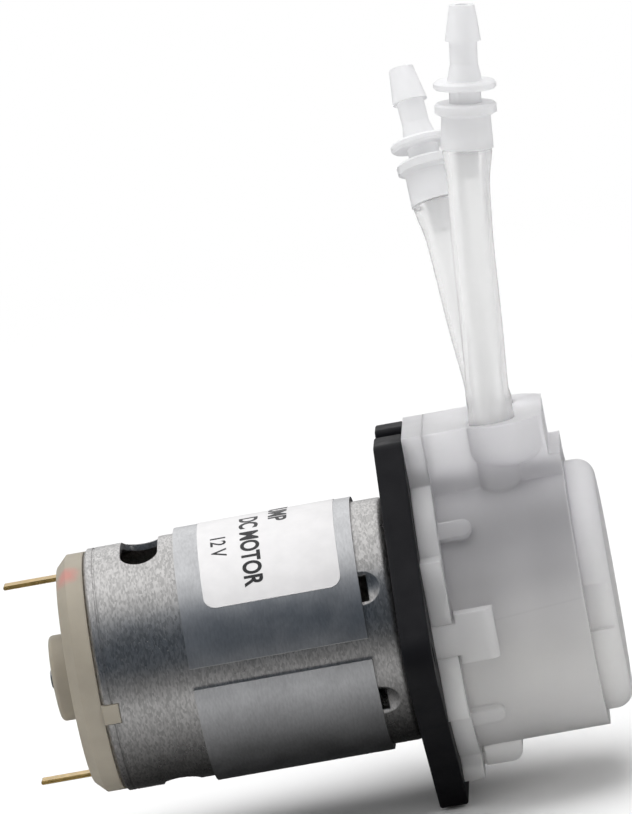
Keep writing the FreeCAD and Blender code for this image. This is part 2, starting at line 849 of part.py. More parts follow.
def hose(name, points):
    path, radii = hose_path(points)
    direction = V(*points[1]) - V(*points[0])
    shell = []
    for r in (hose_r, hose_bore_r):
        ring = Part.Wire(Part.makeCircle(r, V(*points[0]), direction))
        shell.append(path.makePipeShell([ring], True, False))
    tube = shell[0].cut(shell[1])
    expected = math.pi * (hose_r**2 - hose_bore_r**2) * path.Length
    print(f"{name}: length {path.Length:.2f}, arc radii {[round(r, 1) for r in radii]}")
    print(f"{name}: volume {tube.Volume:.2f}, section times length {expected:.2f}")
    return tube


# ---- Connectors ------------------------------------------------------------------------------
def luer_socket(points):
    """The female half on the hose's end: a stem in the hose, a tapering body and a rim."""
    outline = [
        (fitting_bore_r, -stem_len),
        (hose_bore_r, -stem_len),
        (hose_bore_r, 0.0),
        (socket_body_r, 0.0),
        (socket_neck_r, luer_rim_from - luer_rim_flare),
        (luer_rim_r, luer_rim_from),
        (luer_rim_r, luer_len - rim_corner),
        (luer_rim_r - rim_corner, luer_len),
        (luer_taper_r, luer_len),
        (luer_taper_small_r, luer_taper_from),
        (fitting_bore_r, luer_taper_from),
    ]
    return profile_about(outline, points[-2], points[-1])


def barb_adapter(points):
    """The male half: a taper in the socket, a collar to grip, and a barb for the user's hose."""
    seat = luer_taper_from + luer_seat_gap
    slope = (luer_taper_r - luer_taper_small_r) / (luer_len - luer_taper_from)
    outline = [
        (fitting_bore_r, seat),
        (luer_taper_small_r + slope * luer_seat_gap, seat),
        (luer_taper_r, luer_len),
        (adapter_neck_r, luer_len),
        (adapter_neck_r, adapter_collar_from),
        (adapter_collar_r - rim_corner, adapter_collar_from),
        (adapter_collar_r, adapter_collar_from + rim_corner),
        (adapter_collar_r, adapter_collar_to - rim_corner),
        (adapter_collar_r - rim_corner, adapter_collar_to),
        (adapter_cone_r, adapter_collar_to),
        (adapter_stem_r, adapter_stem_from),
        (adapter_stem_r, barb_from),
        (barb_r, barb_from),
        (barb_tip_r, adapter_len),
        (fitting_bore_r, adapter_len),
    ]
    return profile_about(outline, points[-2], points[-1])


# ---- Build -----------------------------------------------------------------------------------
save("motor_can", motor_can())
save("flux_ring", flux_ring())
save("rating_label", rating_label())
save("rear_end_cap", rear_end_cap())
for name, direction in (("upper", 1), ("lower", -1)):
    save("terminal_" + name, terminal(direction))
    save("brush_arm_" + name, brush_arm(direction))
    save("brush_" + name, brush(direction))
    save("magnet_" + name, magnet(direction))
save("magnet_clips", magnet_clips())
save("armature_core", armature_core())
save("armature_windings", armature_windings())
save("commutator", commutator())
save("motor_shaft", motor_shaft())
save("front_bearing", bush(can_boss_len - bush_len))
save("rear_bearing", bush(cap_boss_end + cap_boss_wall))
save("thrust_washers", thrust_washers())
save("mounting_flange", mounting_flange())
save("motor_screws", motor_screws())
save("head_base", head_base())
save("pump_housing", pump_housing())
save("front_cover", front_cover())
save("drive_sleeve", drive_sleeve())
save("carrier_rear_plate", carrier_rear_plate())
save("carrier_front_plate", carrier_front_plate())
for number, angle in enumerate(roller_angles, 1):
    save(f"roller_{number}", roller(angle))
    save(f"roller_pin_{number}", roller_pin(angle))
save("pump_tube", pump_tube())
save("inlet_hose", hose("inlet_hose", inlet_points))
save("outlet_hose", hose("outlet_hose", outlet_points))
for name, points in (("inlet", inlet_points), ("outlet", outlet_points)):
    save(name + "_luer_socket", luer_socket(points))
    save(name + "_barb_adapter", barb_adapter(points))
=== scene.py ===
"""Finishes a small peristaltic dosing pump round its packed parts.

The packed parts are the fixed frame: a can motor along -X, a flange, a roller head along +X and two
hoses along +Z. This file adds the soft silicone tubes and the print on the label, gives every part
its finish, and sets a plain studio round it. Lengths are in metres.
"""

import math

import bmesh
import bpy
import numpy as np
from bpy.props import FloatProperty, FloatVectorProperty, IntProperty, PointerProperty, StringProperty
from mathutils import Matrix, Vector


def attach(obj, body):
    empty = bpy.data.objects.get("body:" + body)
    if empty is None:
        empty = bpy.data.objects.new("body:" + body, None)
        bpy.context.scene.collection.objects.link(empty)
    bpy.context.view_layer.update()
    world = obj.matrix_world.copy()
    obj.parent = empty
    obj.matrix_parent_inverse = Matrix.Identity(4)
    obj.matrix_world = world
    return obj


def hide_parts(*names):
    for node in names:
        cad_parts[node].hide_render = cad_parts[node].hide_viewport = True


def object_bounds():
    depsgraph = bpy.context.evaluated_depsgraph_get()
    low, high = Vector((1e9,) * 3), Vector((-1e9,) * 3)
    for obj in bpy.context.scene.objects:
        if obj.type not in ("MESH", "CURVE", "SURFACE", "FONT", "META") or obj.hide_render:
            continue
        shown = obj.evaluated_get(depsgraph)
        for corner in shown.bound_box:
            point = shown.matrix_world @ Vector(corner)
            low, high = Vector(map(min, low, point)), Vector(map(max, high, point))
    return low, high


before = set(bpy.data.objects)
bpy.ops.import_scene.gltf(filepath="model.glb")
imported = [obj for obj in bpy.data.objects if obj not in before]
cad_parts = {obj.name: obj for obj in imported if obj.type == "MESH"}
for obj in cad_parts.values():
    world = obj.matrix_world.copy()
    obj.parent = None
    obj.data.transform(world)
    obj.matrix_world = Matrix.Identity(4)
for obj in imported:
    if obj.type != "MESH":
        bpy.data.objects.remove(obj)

bl_info = {
    "name": "Peristaltic Pump Finish",
    "version": (1, 0, 0),
    "blender": (4, 5, 0),
    "location": "3D View > Sidebar > Pump",
    "description": "Adds the tubes, label print, finishes and studio of a peristaltic pump",
    "category": "Add Mesh",
}

CAD_BOX = [list(corner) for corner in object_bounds()]

# Places shared with the packed parts
INLET_ROUTE = (
    (0.0134, -0.0049, 0.0152),
    (0.0134, -0.0049, 0.0220),
    (0.01445, -0.00495, 0.0330),
    (0.0151, -0.0050, 0.0433),
    (0.01635, -0.00505, 0.0520),
)
OUTLET_ROUTE = (
    (0.0134, 0.0049, 0.0152),
    (0.0134, 0.0049, 0.0225),
    (0.01255, 0.0055, 0.0305),
    (0.0121, 0.0069, 0.0380),
    (0.01145, 0.0093, 0.0445),
)
INLET_LENGTH = 0.0369
OUTLET_LENGTH = 0.0300
HEAD_TOP = 0.0213

# The pump tube's course in the head, and the rollers that press it: a roller's reach is in radians
# either way of its own angle, and the rollers' angles are in degrees
TUBE_X = 0.0134
TUBE_R = 0.00235
TUBE_WALL = 0.0011
LEG_Y = 0.0049
LEG_TOP = 0.0152
BEND_R = 0.010
RACE_R = 0.0136
ROLLER_R = 0.0047
ORBIT_R = 0.00665
ROLLER_GAP = 0.0001
ROLLER_REACH = 0.78
PINCHED_AT = (210.0, 330.0)
TIGHTEST_BORE = 0.00002

# Tube ends: the rounded lip as a share of the wall, and the ring next to the end as shares of the
# lip. A swollen hose's bore opens by a share of the swell
LIP_SHARE = 0.3
LIP_STEP = 0.35
LIP_DROP = 0.25
BORE_SWELL = 0.2

# Points along the pump tube: leg, bend and race, and the width of the soft minimum
LEG_POINTS = 14
BEND_POINTS = 24
RACE_POINTS = 160
SMOOTH_OVER = 7

# Label print
LABEL_R = 0.01453
PRINT_GAP = 0.00001
PRINT_THICK = 0.000012
PRINT_PITCH = 0.0005

# The middle of the paint spot on the end cap
SPOT_AT = (-0.0366, -0.0053, 0.0123)

# The head's finish by place. The drum's painted shade runs from its bottom to the head's top, each step
# given as (share of that height, grey). The spans are radii for what stands proud of the drum, heights
# for the ribs and the tint, and places along the shaft for the base and the cover
DRUM_SPAN = (-0.016, 0.022)
DRUM_PAINTED_SHADE = (
    (0.0, 0.95), (0.21, 0.90), (0.45, 0.78), (0.58, 0.62), (0.70, 0.48), (0.80, 0.64), (0.90, 1.0),
)
PROUD_SPAN = (0.0160, 0.0162)
RIB_SPAN = (0.0048, 0.0060)
BASE_SPAN = (0.0058, 0.0056)
COVER_SPAN = (0.0202, 0.0206)
TINT_SPAN = (-0.004, 0.010)

# The mould seam along the drum: its height, its slope along the shaft and its half width
SEAM_AT = 0.0002
SEAM_SLOPE = -0.08
SEAM_SPAN = (0.00005, 0.00016)

# The floor: where it starts to glow by distance from the pump, and its painted shade in gloss by
# distance towards the camera: a painted shadow under the pump and painted shade further in front
GLOW_SPAN = (0.10, 0.45)
SHADE_SPAN = (0.0, 0.04)
FRONT_SPAN = (0.05, 0.10)
SHADE_DEEP = 0.06
SHADE_PALE = 0.44
SHADE_FRONT = 0.13

# The room's light: its brightest way, and its strength in gloss by the lean towards that way
SKY_WAY = (0.0, 0.5, 0.866)
SKY_SPAN = (0.26, 0.80)
SKY_LOW = 0.07
SKY_DULL = 0.38
COOL = (0.78, 0.96, 1.2)
WHITE = (1.0, 1.0, 1.0)


# ---- Sizes and colours a user may change -----------------------------------------------------
def colour(name, description, default):
    """A linear colour with no alpha."""
    return FloatVectorProperty(
        name=name, description=description, default=default, size=3, subtype="COLOR", min=0, max=1
    )


def length(name, description, default):
    """A size in metres."""
    return FloatProperty(
        name=name, description=description, default=default, min=0, precision=5, unit="LENGTH"
    )


class PumpTubeSettings(bpy.types.PropertyGroup):
    """Sizes and colours of the silicone tubes and their connectors."""

    radius: length("Outside Radius", "Outside radius of the silicone tube", TUBE_R)
    bore: length("Bore Radius", "Inside radius of the silicone tube", 0.00125)
    flare: length("Flare", "How far the hose swells over its connector", 0.00042)
    flare_long: length("Flare Length", "Length of hose that swells", 0.0042)
    foot: length("Foot", "How far the hose bulges where it leaves the head", 0.00025)
    foot_long: length("Foot Length", "Half the length of that bulge", 0.0028)
    sides: IntProperty(name="Sides", description="Points round the tube", default=56, min=12)
    steps: IntProperty(name="Steps", description="Rings in each run of a hose", default=22, min=4)
    silicone: colour("Silicone", "Colour of the tubes", (0.95, 0.95, 0.95))
    fitting: colour("Connector", "Colour of the hose connectors", (0.975, 0.975, 0.985))


class PumpMotorSettings(bpy.types.PropertyGroup):
    """Colours of the motor and the words on its label."""

    case_dark: colour("Case, Dark", "Dark flecks of the zinc on the case", (0.40, 0.395, 0.39))
    case_light: colour("Case, Light", "Light flecks of the zinc on the case", (0.78, 0.765, 0.755))
    ring: colour("Ring", "Colour of the steel ring round the case", (0.66, 0.665, 0.68))
    brass: colour("Terminals", "Colour of the brass tabs", (0.86, 0.60, 0.22))
    cap: colour("End Cap", "Colour of the rear end cap", (0.35, 0.315, 0.255))
    spot: colour("Polarity Spot", "Colour of the paint spot by the upper terminal", (0.62, 0.16, 0.15))
    label: colour("Label", "Colour of the label", (0.76, 0.75, 0.755))
    ink: colour("Ink", "Colour of the label's print", (0.012, 0.012, 0.014))
    row_front: StringProperty(
        name="Front Row", description="Words nearest the flange", default="METERING PUMP"
    )
    row_middle: StringProperty(name="Middle Row", description="Words in the middle", default="DC MOTOR")
    row_rear: StringProperty(name="Rear Row", description="Words nearest the end cap", default="12 V")


class PumpHeadSettings(bpy.types.PropertyGroup):
    """Colours of the flange and the pump head."""

    flange: colour("Flange", "Colour of the mounting flange", (0.0055, 0.0055, 0.007))
    housing: colour("Housing", "Colour of the milky housing and cover", (0.955, 0.945, 0.975))
    housing_low: colour("Housing, Low", "Its warmer colour low down", (0.965, 0.955, 0.945))
    carrier: colour("Carrier", "Colour of the roller carrier", (0.40, 0.40, 0.39))
    roller: colour("Rollers", "Colour of the rollers", (0.45, 0.45, 0.44))


class PumpStageSettings(bpy.types.PropertyGroup):
    """The studio: floor, lights and camera."""

    floor_gap: length("Floor Gap", "Space between the pump's lowest point and the floor", 0.0003)
    floor_size: length("Floor Size", "Length of the floor's side", 8.0)
    distance: length("Camera Distance", "From the camera to the point it aims at", 0.9)
    lens: FloatProperty(name="Lens", description="Focal length in millimetres", default=353.5, min=1)
    turn: FloatProperty(
        name="Turn", description="The camera's turn towards the head", default=math.radians(3.278),
        subtype="ANGLE",
    )
    height: FloatProperty(
        name="Elevation", description="The camera's elevation", default=math.radians(9.607),
        subtype="ANGLE",
    )
    roll: FloatProperty(
        name="Roll", description="The camera's roll", default=math.radians(-10.680), subtype="ANGLE"
    )
    aim: FloatVectorProperty(
        name="Aim", description="The point in the middle of the view", size=3, precision=5,
        default=(-0.00594, 0.00299, 0.02491), subtype="XYZ_LENGTH", unit="LENGTH",
    )


# ---- Meshes from arrays ----------------------------------------------------------------------
def enclosed(points, faces):
    """Signed volume of a closed shell: a sixth of the sum of a . (b x c) over its triangles."""
    tris = np.concatenate([faces[:, [0, 1, 2]], faces[:, [0, 2, 3]]])
    a, b, c = points[tris[:, 0]], points[tris[:, 1]], points[tris[:, 2]]
    return np.einsum("ij,ij->i", a, np.cross(b, c)).sum() / 6


def closed_grid(name, grid, material):
    """A doughnut-like skin from a grid of rings: ring i joins ring i+1, and the last the first.

    The four corners of face (i, j) are points (i, j), (i, j+1), (i+1, j+1) and (i+1, j), counted
    round both ways. Faces are turned over if the shell comes out with a negative volume.
    """
    rings, sides = grid.shape[:2]
    i, j = np.meshgrid(np.arange(rings), np.arange(sides), indexing="ij")
    on, over = (i + 1) % rings, (j + 1) % sides
    faces = np.stack([i * sides + j, i * sides + over, on * sides + over, on * sides + j], -1)
    faces = faces.reshape(-1, 4)
    points = grid.reshape(-1, 3)
    if enclosed(points, faces) < 0:
        faces = faces[:, ::-1]
    mesh = bpy.data.meshes.new(name)
    mesh.from_pydata(points.tolist(), [], faces.tolist())
    mesh.polygons.foreach_set("use_smooth", np.ones(len(faces), bool))
    mesh.update()
    return placed(name, mesh, material)


def linked(name, data):
    """A new object in the scene that holds the data."""
    made = bpy.data.objects.new(name, data)
    bpy.context.scene.collection.objects.link(made)
    return made


def placed(name, mesh, material):
    """Makes the mesh a piece that rides on the frame."""
    mesh.materials.clear()
    mesh.materials.append(material)
    piece = linked(name, mesh)
    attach(piece, "frame")
    return piece


def mesh_of(curve):
    """The mesh of a curve or of flat letters, which is then thrown away."""
    holder = linked(curve.name, curve)
    mesh = bpy.data.meshes.new_from_object(holder)
    bpy.data.objects.remove(holder)
    bpy.data.curves.remove(curve)
    return mesh


def points_of(mesh):
    """The mesh's points, one in each row."""
    flat = np.empty(len(mesh.vertices) * 3)
    mesh.vertices.foreach_get("co", flat)
    return flat.reshape(-1, 3)


def route_line(points, steps):
    """The points of a smooth NURBS line whose control points are the route's."""
    curve = bpy.data.curves.new("route", "CURVE")
    curve.dimensions = "3D"
    curve.resolution_u = steps
    spline = curve.splines.new("NURBS")
    spline.points.add(len(points) - 1)
    spline.points.foreach_set("co", np.c_[np.array(points), np.ones(len(points))].ravel())
    spline.order_u = 3
    spline.use_endpoint_u = True
    mesh = mesh_of(curve)
    line = points_of(mesh)
    bpy.data.meshes.remove(mesh)
    return line


def along(line):
    """Distance of each point from the line's start."""
    return np.r_[0, np.cumsum(np.linalg.norm(np.diff(line, axis=0), axis=1))]


def swept_rings(line, across, upright):
    """Rings carried along a line: p = line + across * side(t) + upright * out(t).

    side is the X axis made square to the line's direction, and out is square to both. The two
    arrays of offsets hold one row for each point of the line.
    """
    forward = np.gradient(line, axis=0)
    forward /= np.linalg.norm(forward, axis=1, keepdims=True)
    side = np.array([1.0, 0, 0]) - forward * forward[:, :1]
    side /= np.linalg.norm(side, axis=1, keepdims=True)
    out = np.cross(forward, side)
    return line[:, None] + across[..., None] * side[:, None] + upright[..., None] * out[:, None]


def with_lips(line, half_a, half_b, lip):
    """Adds two rings close to each end, so that the end's edge is rounded over the lip's length.

    Returns the new line, the two sizes on it and how far the skin drops at each ring: the whole
    lip at the end itself, a part of it at the next ring, and nothing from there on.
    """
    s = along(line)
    keep = (s > lip) & (s < s[-1] - lip)
    near = lip * LIP_STEP
    stations = np.r_[0, near, lip, s[keep], s[-1] - lip, s[-1] - near, s[-1]]
    line = np.stack([np.interp(stations, s, line[:, k]) for k in range(3)], -1)
    half_a, half_b = np.interp(stations, s, half_a), np.interp(stations, s, half_b)
    drop = np.zeros(len(stations))
    drop[[0, -1]] = lip
    drop[[1, -2]] = lip * LIP_DROP
    return line, half_a, half_b, drop


# ---- Silicone tubes --------------------------------------------------------------------------
def hose_piece(name, route, sizes, material):
    """A hollow hose along its route, whose end swells over the connector.

    Outside radius: r + flare * smoothstep((s - start) / flare_long) + foot * (1 - u^2)^2, where s
    runs along the hose, start lies flare_long before its end, and u is the distance from the
    head's top as a share of foot_long. The rings run out along the outside, turn over the end's
    lip and come back along the bore.
    """
    line = route_line(route, sizes.steps)
    s = along(line)
    t = np.clip((s - s[-1] + sizes.flare_long) / sizes.flare_long, 0, 1)
    swell = sizes.flare * t * t * (3 - 2 * t)
    u = np.clip((line[:, 2] - HEAD_TOP) / sizes.foot_long, -1, 1)
    outside = sizes.radius + swell + sizes.foot * (1 - u * u) ** 2
    lip = (sizes.radius - sizes.bore) * LIP_SHARE
    line, outer, inner, drop = with_lips(line, outside, sizes.bore + swell * BORE_SWELL, lip)
    angle = np.linspace(0, 2 * math.pi, sizes.sides, endpoint=False)
    skins = [
        swept_rings(line, radius[:, None] * np.cos(angle), radius[:, None] * np.sin(angle))
        for radius in (outer - drop, inner + drop)
    ]
    return closed_grid(name, np.concatenate([skins[0], skins[1][::-1]]), material), line


def race_line():
    """The pump tube's middle line: down a leg, round a wide bend, round the race, and up again.

    The bend's centre is BEND_R outside the leg, and as far from the shaft as the race's line and
    the bend's radius together, so that the arcs touch.
    """
    ring_r = RACE_R - TUBE_R
    centre_y = LEG_Y + BEND_R
    centre_z = math.sqrt((ring_r + BEND_R) ** 2 - centre_y**2)
    bend = math.atan2(centre_z, centre_y)
    leg = np.linspace(LEG_TOP, centre_z, LEG_POINTS)[:-1]
    turn = np.linspace(0, bend, BEND_POINTS)[:-1]
    y = np.r_[np.full(len(leg), LEG_Y), centre_y - BEND_R * np.cos(turn)]
    z = np.r_[leg, centre_z - BEND_R * np.sin(turn)]
    round_race = np.linspace(math.pi - bend, 2 * math.pi + bend, RACE_POINTS)
    y = np.r_[-y, ring_r * np.cos(round_race), y[::-1]]
    z = np.r_[z, ring_r * np.sin(round_race), z[::-1]]
    return np.stack([np.full(len(y), TUBE_X), y, z], -1)


def room_under_rollers(line):
    """Half the space across the tube at each point of its line, between the race and a roller.

    A roller's far side lies at c cos(d) + sqrt(r^2 - c^2 sin^2(d)) from the shaft, where c is the
    orbit's radius, r the roller's and d the angle from the roller's own. Away from the rollers the
    tube keeps its round section; the two meet in a soft minimum.
    """
    angle = np.degrees(np.arctan2(line[:, 2], line[:, 1])) % 360
    free = np.full(len(line), TUBE_R)
    for at in PINCHED_AT:
        off = np.radians(np.abs(angle - at))
        under = np.maximum(ROLLER_R**2 - (ORBIT_R * np.sin(off)) ** 2, 0)
        far_side = ORBIT_R * np.cos(off) + np.sqrt(under) + ROLLER_GAP
        reach = np.where(off < ROLLER_REACH, far_side, 0)
        free = np.minimum(free, (RACE_R - reach) / 2)
    padded = np.pad(free, SMOOTH_OVER // 2, mode="edge")
    smooth = np.convolve(padded, np.ones(SMOOTH_OVER) / SMOOTH_OVER, "valid")
    return np.minimum(free, smooth)


def pump_tube_piece(sizes, material):
    """The tube in the head, squeezed flat where a roller presses it against the race.

    The section is a superellipse, |u/a|^p + |v/b|^p = 1. a is half the space across the tube, b is
    r pi / 2 - (pi / 2 - 1) a, which keeps the wall's length, and p goes from 2 where the tube is
    round to 4 where it is flat. Its outer side stays on the race.
    """
    line = race_line()
    half = room_under_rollers(line)
    radial = np.c_[np.zeros(len(line)), line[:, 1:]]
    radial /= np.linalg.norm(radial, axis=1, keepdims=True)
    line = line + radial * (sizes.radius - half)[:, None]
    wide = sizes.radius * math.pi / 2 - (math.pi / 2 - 1) * half
    line, half, wide, drop = with_lips(line, half, wide, TUBE_WALL * LIP_SHARE)
    flat = np.clip((sizes.radius - half) / (sizes.radius - TUBE_WALL), 0, 1)
    power = 2 / (2 + 2 * flat)[:, None]
    angle = np.linspace(0, 2 * math.pi, sizes.sides, endpoint=False)
    cos = np.sign(np.cos(angle)) * np.abs(np.cos(angle)) ** power
    sin = np.sign(np.sin(angle)) * np.abs(np.sin(angle)) ** power
    skins = []
    for wall in (drop, TUBE_WALL - drop):
        a, b = np.maximum(half - wall, TIGHTEST_BORE)[:, None], (wide - wall)[:, None]
        skins.append(swept_rings(line, b * cos, a * sin))
    grid = np.concatenate([skins[0], skins[1][::-1]])
    return closed_grid("pump_tube_silicone", grid, material)


# ---- Label print -----------------------------------------------------------------------------
def print_row(name, words, size, x, last_angle, bold, condensed, material):
    """A row of print wrapped round the label.

    Point (u, v) of the flat letters goes to (x + v, r cos(a), r sin(a)), with a = last_angle + u / r.
    Rows read down towards the near side, their tops face the flange, and u is zero at a row's end.
    """
    curve = bpy.data.curves.new(name, "FONT")
    curve.body = words
    curve.size = size
    curve.align_x = "RIGHT"
    curve.offset = bold
    curve.extrude = PRINT_THICK
    curve.resolution_u = 6
    mesh = mesh_of(curve)
    cut_across(mesh, PRINT_PITCH)
    u, v, w = points_of(mesh).T
    angle = math.radians(last_angle) + u * condensed / LABEL_R
    r = LABEL_R + PRINT_GAP + w
    bent = np.stack([x + v, r * np.cos(angle), r * np.sin(angle)], -1)
    mesh.vertices.foreach_set("co", bent.ravel())
    mesh.update()
    return placed(name, mesh, material)


def cut_across(mesh, pitch):
    """Slices the flat letters every pitch along their row, so that they can bend."""
    work = bmesh.new()
    work.from_mesh(mesh)
    xs = [vert.co.x for vert in work.verts]
    for at in np.arange(min(xs) + pitch, max(xs), pitch):
        geometry = work.verts[:] + work.edges[:] + work.faces[:]
        bmesh.ops.bisect_plane(work, geom=geometry, plane_co=(at, 0, 0), plane_no=(1, 0, 0))
    bmesh.ops.recalc_face_normals(work, faces=work.faces)
    work.to_mesh(mesh)
    work.free()


# ---- Node trees ------------------------------------------------------------------------------
class Recipe:
    """Fills a node tree. A value given to an input is set on it, and a socket is linked to it."""

    def __init__(self, tree):
        self.tree = tree

    def feed(self, socket, value):
        if isinstance(value, bpy.types.NodeSocket):
            self.tree.links.new(value, socket)
        elif socket.type == "RGBA":
            socket.default_value = (*value, 1.0)
        else:
            socket.default_value = value

    def node(self, kind, inputs=None, **settings):
        made = self.tree.nodes.new("ShaderNode" + kind)
        for key, value in settings.items():
            setattr(made, key, value)
        for key, value in (inputs or {}).items():
            self.feed(made.inputs[key], value)
        return made

    def maths(self, operation, *values):
        made = self.node("Math", operation=operation)
        for socket, value in zip(made.inputs, values):
            self.feed(socket, value)
        return made.outputs[0]

    def mixed(self, factor, a, b, blend="MIX"):
        made = self.node("Mix", data_type="RGBA", blend_type=blend)
        self.feed(made.inputs[0], factor)
        self.feed(made.inputs[6], a)
        self.feed(made.inputs[7], b)
        return made.outputs[2]

    def spread(self, value, low, high, to_low=0.0, to_high=1.0):
        """Maps a span of values to another one, by default to 0 ... 1."""
        made = self.node("MapRange", {"Value": value, 1: low, 2: high, 3: to_low, 4: to_high})
        return made.outputs[0]

    def ramp(self, value, stops):
        """A smooth grey scale through the stops, each given as (place, grey)."""
        made = self.node("ValToRGB", {"Fac": value})
        scale = made.color_ramp
        scale.interpolation = "EASE"
        for _ in stops[2:]:
            scale.elements.new(0.5)
        for stop, (place, grey) in zip(scale.elements, stops):
            stop.position = place
            stop.color = (grey, grey, grey, 1.0)
        return made.outputs[0]

    def times(self, a, b):
        return self.maths("MULTIPLY", a, b)

    def plus(self, a, b):
        return self.maths("ADD", a, b)

    def noise(self, vector, scale, detail=3.0, rough=0.55):
        inputs = {"Vector": vector, "Scale": scale, "Detail": detail, "Roughness": rough}
        return self.node("TexNoise", inputs).outputs["Fac"]

    def stretched(self, vector, scale):
        return self.node("Mapping", {"Vector": vector, "Scale": scale}).outputs[0]

    def bump(self, height, distance, strength=1.0, normal=None):
        made = self.node("Bump", {"Height": height, "Distance": distance, "Strength": strength})
        if normal is not None:
            self.feed(made.inputs["Normal"], normal)
        return made.outputs[0]


def group_tree(name, inputs, outputs):
    """An empty shader node group with its sockets, each given as name: (kind, default)."""
    tree = bpy.data.node_groups.new(name, "ShaderNodeTree")
    for way, sockets in (("INPUT", inputs), ("OUTPUT", outputs)):
        for label, (kind, default) in sockets.items():
            socket = tree.interface.new_socket(label, in_out=way, socket_type="NodeSocket" + kind)
            if default is not None:
                socket.default_value = default
    recipe = Recipe(tree)
    start = tree.nodes.new("NodeGroupInput").outputs
    end = tree.nodes.new("NodeGroupOutput").inputs
    return recipe, start, end


def build_round_axis():
    """Coordinates on a turned part: along the axis, the arc's length round it, and the radius."""
    recipe, start, end = group_tree(
        "Round The Axis", {"Vector": ("Vector", None), "Radius": ("Float", 0.014)},
        {"Vector": ("Vector", None)},
    )
    parts = recipe.node("SeparateXYZ", {0: start["Vector"]}).outputs
    near = recipe.times(parts[1], -1.0)
    turn = recipe.maths("ARCTAN2", parts[2], near)
    arc = recipe.times(turn, start["Radius"])
    squares = recipe.plus(*(recipe.maths("POWER", part, 2.0) for part in parts[1:]))
    inputs = {0: parts[0], 1: arc, 2: recipe.maths("SQRT", squares)}
    recipe.feed(end["Vector"], recipe.node("CombineXYZ", inputs).outputs[0])
    return recipe.tree


def build_flecks():
    """Crystal flecks and the finer grain between them, from 0 to 1."""
    recipe, start, end = group_tree(
        "Flecks",
        {"Vector": ("Vector", None), "Scale": ("Float", 2000.0), "Contrast": ("Float", 0.5)},
        {"Value": ("Float", None)},
    )
    inputs = {"Vector": start["Vector"], "Scale": start["Scale"]}
    cells = recipe.node("TexVoronoi", inputs, feature="F1")
    cell = recipe.node("SeparateColor", {0: cells.outputs["Color"]}).outputs[0]
    grain = recipe.noise(start["Vector"], recipe.times(start["Scale"], 0.55), 4.0, 0.62)
    both = recipe.plus(recipe.times(cell, 0.45), recipe.times(grain, 0.55))
    away = recipe.times(recipe.maths("SUBTRACT", both, 0.5), start["Contrast"])
    value = recipe.node("Clamp", {0: recipe.plus(recipe.times(away, 4.0), 0.5)})
    recipe.feed(end["Value"], value.outputs[0])
    return recipe.tree


def build_smudges():
    """Soft patches left by handling, between two values."""
    recipe, start, end = group_tree(
        "Smudges",
        {
            "Vector": ("Vector", None), "Scale": ("Float", 120.0),
            "Low": ("Float", 0.3), "High": ("Float", 0.5),
        },
        {"Value": ("Float", None)},
    )
    patch = recipe.noise(start["Vector"], start["Scale"], 5.0, 0.6)
    value = recipe.spread(patch, 0.32, 0.68, start["Low"], start["High"])
    recipe.feed(end["Value"], value)
    return recipe.tree


def build_soft_edge():
    """The part's own normal, turned over a small radius at its sharp edges."""
    recipe, start, end = group_tree(
        "Soft Edge", {"Radius": ("Float", 0.0002)}, {"Normal": ("Vector", None)}
    )
    edge = recipe.node("Bevel", {"Radius": start["Radius"]}, samples=6)
    recipe.feed(end["Normal"], edge.outputs[0])
    return recipe.tree


def build_edge_mask():
    """One along the edges and nought on the flats: how far the softened normal leans."""
    recipe, start, end = group_tree(
        "Edge Mask", {"Radius": ("Float", 0.0002)}, {"Value": ("Float", None)}
    )
    edge = recipe.node("Bevel", {"Radius": start["Radius"]}, samples=6).outputs[0]
    flat = recipe.node("NewGeometry").outputs["True Normal"]
    lean = recipe.node("VectorMath", {0: edge, 1: flat}, operation="DOT_PRODUCT").outputs["Value"]
    value = recipe.spread(lean, 0.99, 0.80)
    recipe.feed(end["Value"], value)
    return recipe.tree


BUILDERS = {
    "Round The Axis": build_round_axis, "Flecks": build_flecks, "Smudges": build_smudges,
    "Soft Edge": build_soft_edge, "Edge Mask": build_edge_mask,
}
GROUPS = {}


def shared(recipe, name, **inputs):
    """Places one of the shared groups, built when it is first asked for, and returns its output."""
    if name not in GROUPS:
        GROUPS[name] = BUILDERS[name]()
    made = recipe.tree.nodes.new("ShaderNodeGroup")
    made.node_tree = GROUPS[name]
    for key, value in inputs.items():
        recipe.feed(made.inputs[key], value)
    return made.outputs[0]


def finish(name, **constants):
    """A new material: its recipe, its shader and the object's own coordinates."""
    material = bpy.data.materials.new(name)
    material.use_nodes = True
    recipe = Recipe(material.node_tree)
    shader = material.node_tree.nodes["Principled BSDF"]
    for key, value in constants.items():
        recipe.feed(shader.inputs[key.replace("_", " ")], value)
    place = recipe.node("TexCoord").outputs["Object"]
    return material, recipe, shader.inputs, place


# ---- Finishes --------------------------------------------------------------------------------
def scaled(base, factor):
    """The colour made darker, or paler up to white."""
    return [min(value * factor, 1) for value in base]


def lifted(base, step):
    """The colour with a little grey added."""
    return [value + step for value in base]


def smudged(recipe, place, scale, low, high):
    """Roughness that wanders between two values."""
    return shared(recipe, "Smudges", Vector=place, Scale=scale, Low=low, High=high)


def soft_bump(recipe, edge_radius, height, distance, strength=0.6):
    """A bumpy skin that turns softly over the part's edges."""
    edge = shared(recipe, "Soft Edge", Radius=edge_radius)
    return recipe.bump(height, distance, strength, edge)


